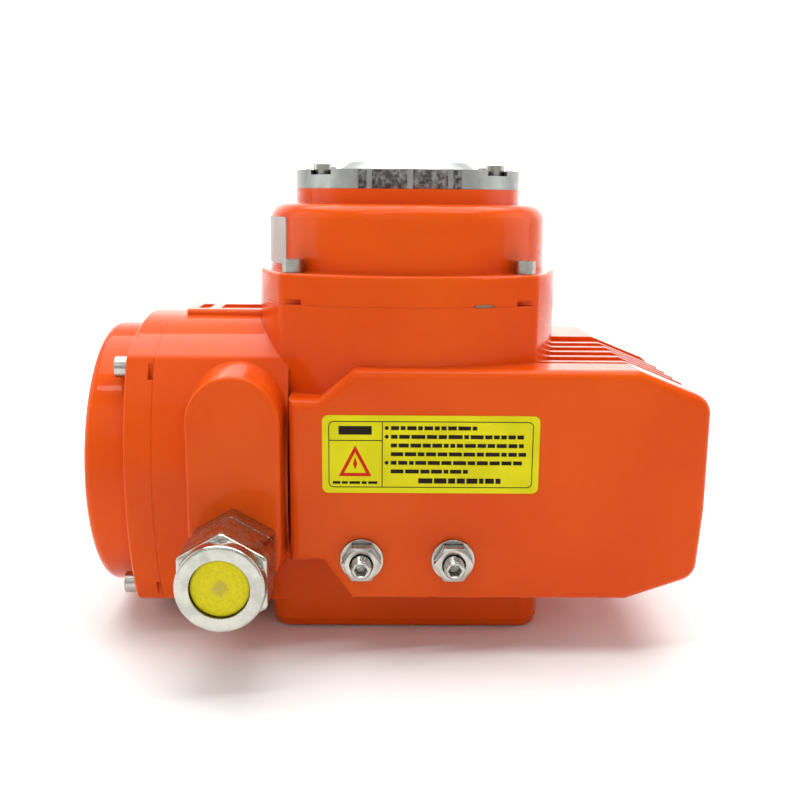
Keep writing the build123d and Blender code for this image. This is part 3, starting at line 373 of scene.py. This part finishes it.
MATERIALS = {
    "casing_paint": casing_paint(),
    "bare_casting": bare_casting(),
    "stainless": bright_metal("stainless", (0.50, 0.49, 0.45), 0.20),
    "nickel": bright_metal("nickel", (0.53, 0.525, 0.47), 0.24, 0.002 * MM, 0.5 * MM),
    "yellow_plastic": yellow_disc(),
    "black_rubber": moulded("black_rubber", (0.018, 0.018, 0.019), 0.55, 0.03 * MM),
    "window_glass": clear_glass(),
    "steel": bright_metal("steel", (0.56, 0.56, 0.56), 0.28, 0.01 * MM),
    "bronze": bright_metal("bronze", (0.62, 0.38, 0.13), 0.30, 0.01 * MM),
    "cast_iron": iron(),
    "zinc_plate": bright_metal("zinc_plate", (0.64, 0.65, 0.62), 0.35, 0.01 * MM),
    "lamination": stacked_steel(),
    "copper": copper_wire(),
    "white_plastic": moulded("white_plastic", (0.78, 0.78, 0.74), 0.4, 0.01 * MM),
    "indicator_plastic": moulded("indicator_plastic", (0.75, 0.60, 0.02), 0.4, 0.01 * MM),
    "black_plastic": moulded("black_plastic", (0.025, 0.025, 0.027), 0.45, 0.02 * MM),
    "spring_steel": bright_metal("spring_steel", (0.68, 0.68, 0.66), 0.22),
    "capacitor_case": moulded("capacitor_case", (0.76, 0.76, 0.73), 0.25, 0.01 * MM),
    "label_film": film("label_film", (0.72, 0.66, 0.004), 0.4),
    "sticker_film": film("sticker_film", (0.55, 0.53, 0.50), 0.5),
    "black_ink": moulded("black_ink", (0.018, 0.012, 0.008), 0.6, 0.002 * MM, edge=0.0, IOR=1.2),
    "red_ink": moulded("red_ink", (0.62, 0.02, 0.008), 0.5, 0.002 * MM, edge=0.0, IOR=1.2),
}


def dress(piece, slot):
    """Gives a piece the material of one of the record's slots."""
    piece.data.materials.clear()
    piece.data.materials.append(MATERIALS[slot])
    return piece


for subpart in frame["record"]["subparts"]:
    dress(NODES[subpart["node"]], subpart["material_slot"])


# ---------------------------------------------------------------- mesh helpers
def new_piece(name, bm, smooth_angle=None):
    """Turns a bmesh into an object, smooth up to an angle in degrees if one is given."""
    bmesh.ops.recalc_face_normals(bm, faces=bm.faces)
    mesh = bpy.data.meshes.new(name)
    bm.to_mesh(mesh)
    bm.free()
    if smooth_angle is not None:
        for face in mesh.polygons:
            face.use_smooth = True
        mesh.set_sharp_from_angle(angle=math.radians(smooth_angle))
    piece = bpy.data.objects.new(name, mesh)
    bpy.context.scene.collection.objects.link(piece)
    return piece


def skin_rings(bm, rings, close=False):
    """Walls between each ring of points and the next; close also joins the last to the first."""
    made = [[bm.verts.new(point) for point in ring] for ring in rings]
    pairs = list(zip(made, made[1:]))
    if close:
        pairs.append((made[-1], made[0]))
    for first, second in pairs:
        for i in range(len(first)):
            j = (i + 1) % len(first)
            bm.faces.new((first[i], first[j], second[j], second[i]))
    return made


def angles():
    """The angles of the points round a ring."""
    return [2 * math.pi * i / AROUND for i in range(AROUND)]


def hexagon_reach(angle, flats, turn):
    """Distance from the middle to the side of a hexagon, turned by an angle."""
    sixth = math.pi / 3
    return flats / 2 / math.cos((angle - turn) % sixth - sixth / 2)


def ring_at(centre, y, reaches):
    """Points round an axis along Y, one for each of the reaches."""
    return [
        Vector((centre[0] + r * math.cos(a), y, centre[1] + r * math.sin(a)))
        for a, r in zip(angles(), reaches)
    ]


def round_ring(centre, y, radius):
    """A plain round ring of points."""
    return ring_at(centre, y, [radius] * AROUND)


# ---------------------------------------------------------------- travel stops
THREAD_PITCH = 1.25 * MM
THREAD_DEPTH = 0.62 * MM
THREAD_STEPS = 8
THREADED_LENGTH = 24 * MM
STOP_SOCKET_FLATS = 4.2 * MM
STOP_SOCKET_DEPTH = 5 * MM


def thread_reach(angle, along, radius):
    """Reach of a triangular thread at an angle and a distance from the tip, with a chamfered start."""
    phase = (along / THREAD_PITCH + angle / (2 * math.pi)) % 1.0
    reach = radius - THREAD_DEPTH * min(1.0, 1.25 * abs(2 * phase - 1))
    return min(reach, radius - 0.8 * MM + along)


def stop_screw(node, body):
    """A threaded stop screw with a hexagon socket, in place of the plain one."""
    low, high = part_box(node)
    centre = ((low.x + high.x) / 2, (low.z + high.z) / 2)
    radius = (high.x - low.x) / 2
    tip = low.y
    root = radius - THREAD_DEPTH
    hexagon = [hexagon_reach(a, STOP_SOCKET_FLATS, 0.0) for a in angles()]
    rings = [
        round_ring(centre, tip + STOP_SOCKET_DEPTH + 0.8 * MM, 0.05 * MM),
        ring_at(centre, tip + STOP_SOCKET_DEPTH, hexagon),
        ring_at(centre, tip + 0.3 * MM, hexagon),
        ring_at(centre, tip, [r + 0.25 * MM for r in hexagon]),
    ]
    count = round(THREADED_LENGTH / THREAD_PITCH * THREAD_STEPS)
    for step in range(count + 1):
        along = step * THREAD_PITCH / THREAD_STEPS
        rings.append(ring_at(centre, tip + along, [thread_reach(a, along, radius) for a in angles()]))
    rings.append(round_ring(centre, tip + THREADED_LENGTH + 0.6 * MM, root))
    rings.append(round_ring(centre, high.y, root))
    rings.append(round_ring(centre, high.y, 0.05 * MM))
    bm = bmesh.new()
    made = skin_rings(bm, rings)
    bm.faces.new(made[0])
    bm.faces.new(made[-1])
    piece = new_piece(node + "_threaded", bm, 35)
    dress(piece, "stainless")
    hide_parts(node)
    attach(piece, body)


NUT_FLATS = 13 * MM
NUT_BORE_R = 4.0 * MM
NUT_FACE_SHARE = 0.93
CHAMFER_SLOPE = math.tan(math.radians(30))


def chamfered_nut(bm, centre, back, front, turn):
    """A hexagon nut whose corners are cut by a cone at both ends. back and front are its Y limits."""
    face_r = NUT_FLATS / 2 * NUT_FACE_SHARE
    corners = [hexagon_reach(a, NUT_FLATS, turn) for a in angles()]
    drops = [max(0.0, reach - face_r) * CHAMFER_SLOPE for reach in corners]

    def edge(y, sign):
        return [p + Vector((0, sign * d, 0)) for p, d in zip(ring_at(centre, y, corners), drops)]

    rings = [
        round_ring(centre, back - 0.4 * MM, NUT_BORE_R),
        round_ring(centre, back, NUT_BORE_R + 0.4 * MM),
        round_ring(centre, back, face_r),
        edge(back, -1),
        edge(front, 1),
        round_ring(centre, front, face_r),
        round_ring(centre, front, NUT_BORE_R + 0.5 * MM),
        round_ring(centre, front + 0.5 * MM, NUT_BORE_R),
    ]
    skin_rings(bm, rings, close=True)


def stop_nuts():
    """Both lock nuts, in place of the plain ones."""
    low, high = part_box("stop_nuts")
    bm = bmesh.new()
    for node in ("stop_screw_left", "stop_screw_right"):
        screw_low, screw_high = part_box(node)
        centre = ((screw_low.x + screw_high.x) / 2, (screw_low.z + screw_high.z) / 2)
        chamfered_nut(bm, centre, high.y, low.y, 0.0)
    piece = new_piece("stop_nuts_chamfered", bm, 25)
    dress(piece, "stainless")
    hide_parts("stop_nuts")
    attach(piece, "casing")


stop_screw("stop_screw_left", "stop_left")
stop_screw("stop_screw_right", "stop_right")
stop_nuts()

# ---------------------------------------------------------------- print on the label
INK_THICK = 0.06 * MM
FRAME_INSET = 2.4 * MM
FRAME_CORNER = 2.0 * MM
FRAME_LINE = 0.32 * MM
COLUMN_WIDTH = 20.0 * MM
HEADER_HEIGHT = 7.6 * MM
HEADING_HALF = 6.2 * MM
TRIANGLE_SIDE = 12.4 * MM
TRIANGLE_RISE = 12.0 * MM
TRIANGLE_STROKE = 1.25 * MM
LOZENGE_HALF = 0.8 * MM
LOZENGE_BELOW = 2.3 * MM
LOZENGE_ABOVE = 2.6 * MM
ROW_PITCH = 3.35 * MM
ROW_HEIGHT = 1.5 * MM
BULLET_R = 0.75 * MM
BAR_LENGTHS = (1.6, 5.4)  # in millimetres
BAR_GAP = 0.6 * MM
# share of the text column's width that each row fills, and whether a bullet starts it
ROWS = [(0.62, True), (0.96, True), (0.96, False), (0.98, False), (0.98, True), (0.56, False)]


def rounded_outline(left, right, bottom, top, corner, steps=6):
    """Corner points of a rounded rectangle, anticlockwise."""
    spots = [(right, top, 0), (left, top, 90), (left, bottom, 180), (right, bottom, 270)]
    points = []
    for x, z, start in spots:
        cx = x - corner if x == right else x + corner
        cz = z - corner if z == top else z + corner
        for step in range(steps + 1):
            a = math.radians(start + 90 * step / steps)
            points.append((cx + corner * math.cos(a), cz + corner * math.sin(a)))
    return points


def inset(points, width):
    """The closed outline moved inwards by width, with sharp corners kept sharp."""
    moved = []
    count = len(points)
    for i, point in enumerate(points):
        before = (Vector(point) - Vector(points[i - 1])).normalized()
        after = (Vector(points[(i + 1) % count]) - Vector(point)).normalized()
        first = Vector((-before.y, before.x))
        second = Vector((-after.y, after.x))
        middle = (first + second).normalized()
        moved.append(tuple(Vector(point) + middle * (width / middle.dot(first))))
    return moved


def ink_area(bm, points, y):
    """A filled flat area."""
    return [bm.faces.new([bm.verts.new((x, y, z)) for x, z in points])]


def ink_band(bm, points, width, y):
    """A line of the given width inside a closed outline."""
    outer = [bm.verts.new((x, y, z)) for x, z in points]
    inner = [bm.verts.new((x, y, z)) for x, z in inset(points, width)]
    count = len(outer)
    return [
        bm.faces.new((outer[i], outer[(i + 1) % count], inner[(i + 1) % count], inner[i]))
        for i in range(count)
    ]


def box_points(left, right, bottom, top):
    """A rectangle's corners, anticlockwise."""
    return [(left, bottom), (right, bottom), (right, top), (left, top)]


def raise_ink(name, bm, faces, ink):
    """Gives the printed areas their thickness and puts them on the casing."""
    lifted = bmesh.ops.extrude_face_region(bm, geom=faces)["geom"]
    bmesh.ops.translate(
        bm, verts=[g for g in lifted if isinstance(g, bmesh.types.BMVert)], vec=(0, -INK_THICK, 0)
    )
    piece = new_piece(name, bm)
    dress(piece, ink)
    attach(piece, "casing")


def print_row(bm, left, width, middle, height, y, dice):
    """One row of plain bars, of uneven length, in place of wording."""
    faces = []
    x = left
    while x < left + width - 1.2 * MM:
        length = min(dice.uniform(*BAR_LENGTHS) * MM, left + width - x)
        shape = box_points(x, x + length, middle - height / 2, middle + height / 2)
        faces += ink_area(bm, shape, y)
        x += length + BAR_GAP
    return faces


def print_label():
    """Frame, rules, a plain triangle and rows of bars, with no wording anywhere."""
    low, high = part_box("rating_label")
    y = low.y
    left, right = low.x + FRAME_INSET, high.x - FRAME_INSET
    bottom, top = low.z + FRAME_INSET * 0.9, high.z - FRAME_INSET * 0.9
    column = left + COLUMN_WIDTH
    header = top - HEADER_HEIGHT
    dice = random.Random(7)
    bm = bmesh.new()
    faces = ink_band(bm, rounded_outline(left, right, bottom, top, FRAME_CORNER), FRAME_LINE, y)
    faces += ink_area(bm, box_points(column, column + FRAME_LINE, bottom + FRAME_LINE, top - FRAME_LINE), y)
    faces += ink_area(bm, box_points(left + FRAME_LINE, column, header, header + FRAME_LINE), y)
    middle = (left + column) / 2
    shape = box_points(middle - HEADING_HALF, middle + HEADING_HALF, header + 2.4 * MM, top - 1.9 * MM)
    faces += ink_area(bm, shape, y)
    faces += print_row(bm, left + 1.6 * MM, COLUMN_WIDTH - 3.2 * MM, bottom + 1.9 * MM, 1.0 * MM, y, dice)
    text_left = column + 3.4 * MM
    text_width = right - text_left - 1.5 * MM
    for row, (share, bullet) in enumerate(ROWS):
        row_z = top - 2.6 * MM - row * ROW_PITCH
        faces += print_row(bm, text_left, text_width * share, row_z, ROW_HEIGHT, y, dice)
        if bullet:
            dot = [
                (column + 1.8 * MM + BULLET_R * math.cos(a), row_z + BULLET_R * math.sin(a))
                for a in angles()[::6]
            ]
            faces += ink_area(bm, dot, y)
    last_z = top - 2.9 * MM - len(ROWS) * ROW_PITCH
    faces += print_row(bm, text_left + 0.2 * text_width, text_width * 0.6, last_z, 2.0 * MM, y, dice)
    raise_ink("label_print", bm, faces, "black_ink")

    base = bottom + 4.4 * MM
    triangle = [
        (middle - TRIANGLE_SIDE / 2, base),
        (middle + TRIANGLE_SIDE / 2, base),
        (middle, base + TRIANGLE_RISE),
    ]
    heart = base + TRIANGLE_RISE * 0.4
    lozenge = [
        (middle, heart - LOZENGE_BELOW),
        (middle + LOZENGE_HALF, heart),
        (middle, heart + LOZENGE_ABOVE),
        (middle - LOZENGE_HALF, heart),
    ]
    bm = bmesh.new()
    faces = ink_band(bm, triangle, TRIANGLE_STROKE, y)
    faces += ink_area(bm, lozenge, y)
    raise_ink("label_triangle", bm, faces, "red_ink")


print_label()

# ---------------------------------------------------------------- floor, light and camera
FLOOR_R = 2.0
COVE_R = 0.9
WALL_TOP = 3.0


def studio_floor():
    """A pale floor that curves up into a wall all round."""
    profile = [(0.0, 0.0), (FLOOR_R, 0.0)]
    for step in range(1, 13):
        a = math.radians(90 * step / 12)
        profile.append((FLOOR_R + COVE_R * math.sin(a), COVE_R * (1 - math.cos(a))))
    profile.append((FLOOR_R + COVE_R, WALL_TOP))
    bm = bmesh.new()
    rings = [
        [Vector((max(r, 0.001) * math.cos(a), max(r, 0.001) * math.sin(a), z)) for a in angles()]
        for r, z in profile
    ]
    made = skin_rings(bm, rings)
    bm.faces.new(made[0])
    floor = new_piece("studio_floor", bm, 60)
    material, tree, shader = start_material("floor", (0.90, 0.90, 0.89), 0.0, 0.9)
    mottle = noise(tree, object_place(tree), 0.4, 2.0)
    tone = mixed(tree, spread(tree, mottle, 0.3, 0.7), (0.91, 0.91, 0.90), (0.88, 0.88, 0.87))
    tree.links.new(tone, shader.inputs["Base Color"])
    floor.data.materials.append(material)


def soft_light(name, spot, target, width, height, power):
    """A large soft box aimed at a point."""
    light = bpy.data.lights.new(name, "AREA")
    light.shape = "RECTANGLE"
    light.size = width
    light.size_y = height
    light.energy = power
    holder = bpy.data.objects.new(name, light)
    holder.location = spot
    holder.rotation_mode = "QUATERNION"
    holder.rotation_quaternion = (Vector(target) - Vector(spot)).to_track_quat("-Z", "Y")
    bpy.context.scene.collection.objects.link(holder)


def studio_light():
    """A pale room, a broad top light, a lit back wall, a strip for edges, and fill from three sides."""
    world = bpy.data.worlds.new("studio")
    world.use_nodes = True
    world.node_tree.nodes["Background"].inputs["Color"].default_value = (1.0, 1.0, 1.0, 1.0)
    world.node_tree.nodes["Background"].inputs["Strength"].default_value = 0.17
    bpy.context.scene.world = world
    middle = (0.0, 0.0, 0.09)
    soft_light("top_light", (0.0, 0.35, 1.3), middle, 1.8, 1.2, 27)
    soft_light("back_light", (0.0, 1.6, 1.0), (0.0, 2.6, 0.6), 3.0, 1.0, 34)
    soft_light("strip_light", (0.1, -0.35, 1.25), middle, 1.6, 0.10, 6)
    soft_light("left_light", (-1.2, 0.1, 0.5), middle, 0.8, 1.0, 3)
    soft_light("right_light", (1.2, 0.2, 0.5), middle, 0.8, 1.0, 3)
    soft_light("front_light", (-0.3, -1.3, 1.1), middle, 1.2, 0.8, 2.6)


CAMERA_SPOT = (-8.3 * MM, -431.4 * MM, 176.8 * MM)
CAMERA_YAW = -0.0136
CAMERA_PITCH = 0.202
CAMERA_ROLL = 0.009


def camera():
    """A camera in front of the label side, a little above the middle of the casing and looking down."""
    lens = bpy.data.cameras.new("camera")
    lens.lens = 45.0
    lens.sensor_width = 36.0
    holder = bpy.data.objects.new("camera", lens)
    turn = (
        Matrix.Rotation(CAMERA_YAW, 4, "Z")
        @ Matrix.Rotation(math.pi / 2 - CAMERA_PITCH, 4, "X")
        @ Matrix.Rotation(CAMERA_ROLL, 4, "Z")
    )
    holder.matrix_world = Matrix.Translation(CAMERA_SPOT) @ turn
    lens.clip_start = 0.01
    bpy.context.scene.collection.objects.link(holder)
    bpy.context.scene.camera = holder


studio_floor()
studio_light()
camera()
bpy.context.scene.view_settings.view_transform = "Standard"
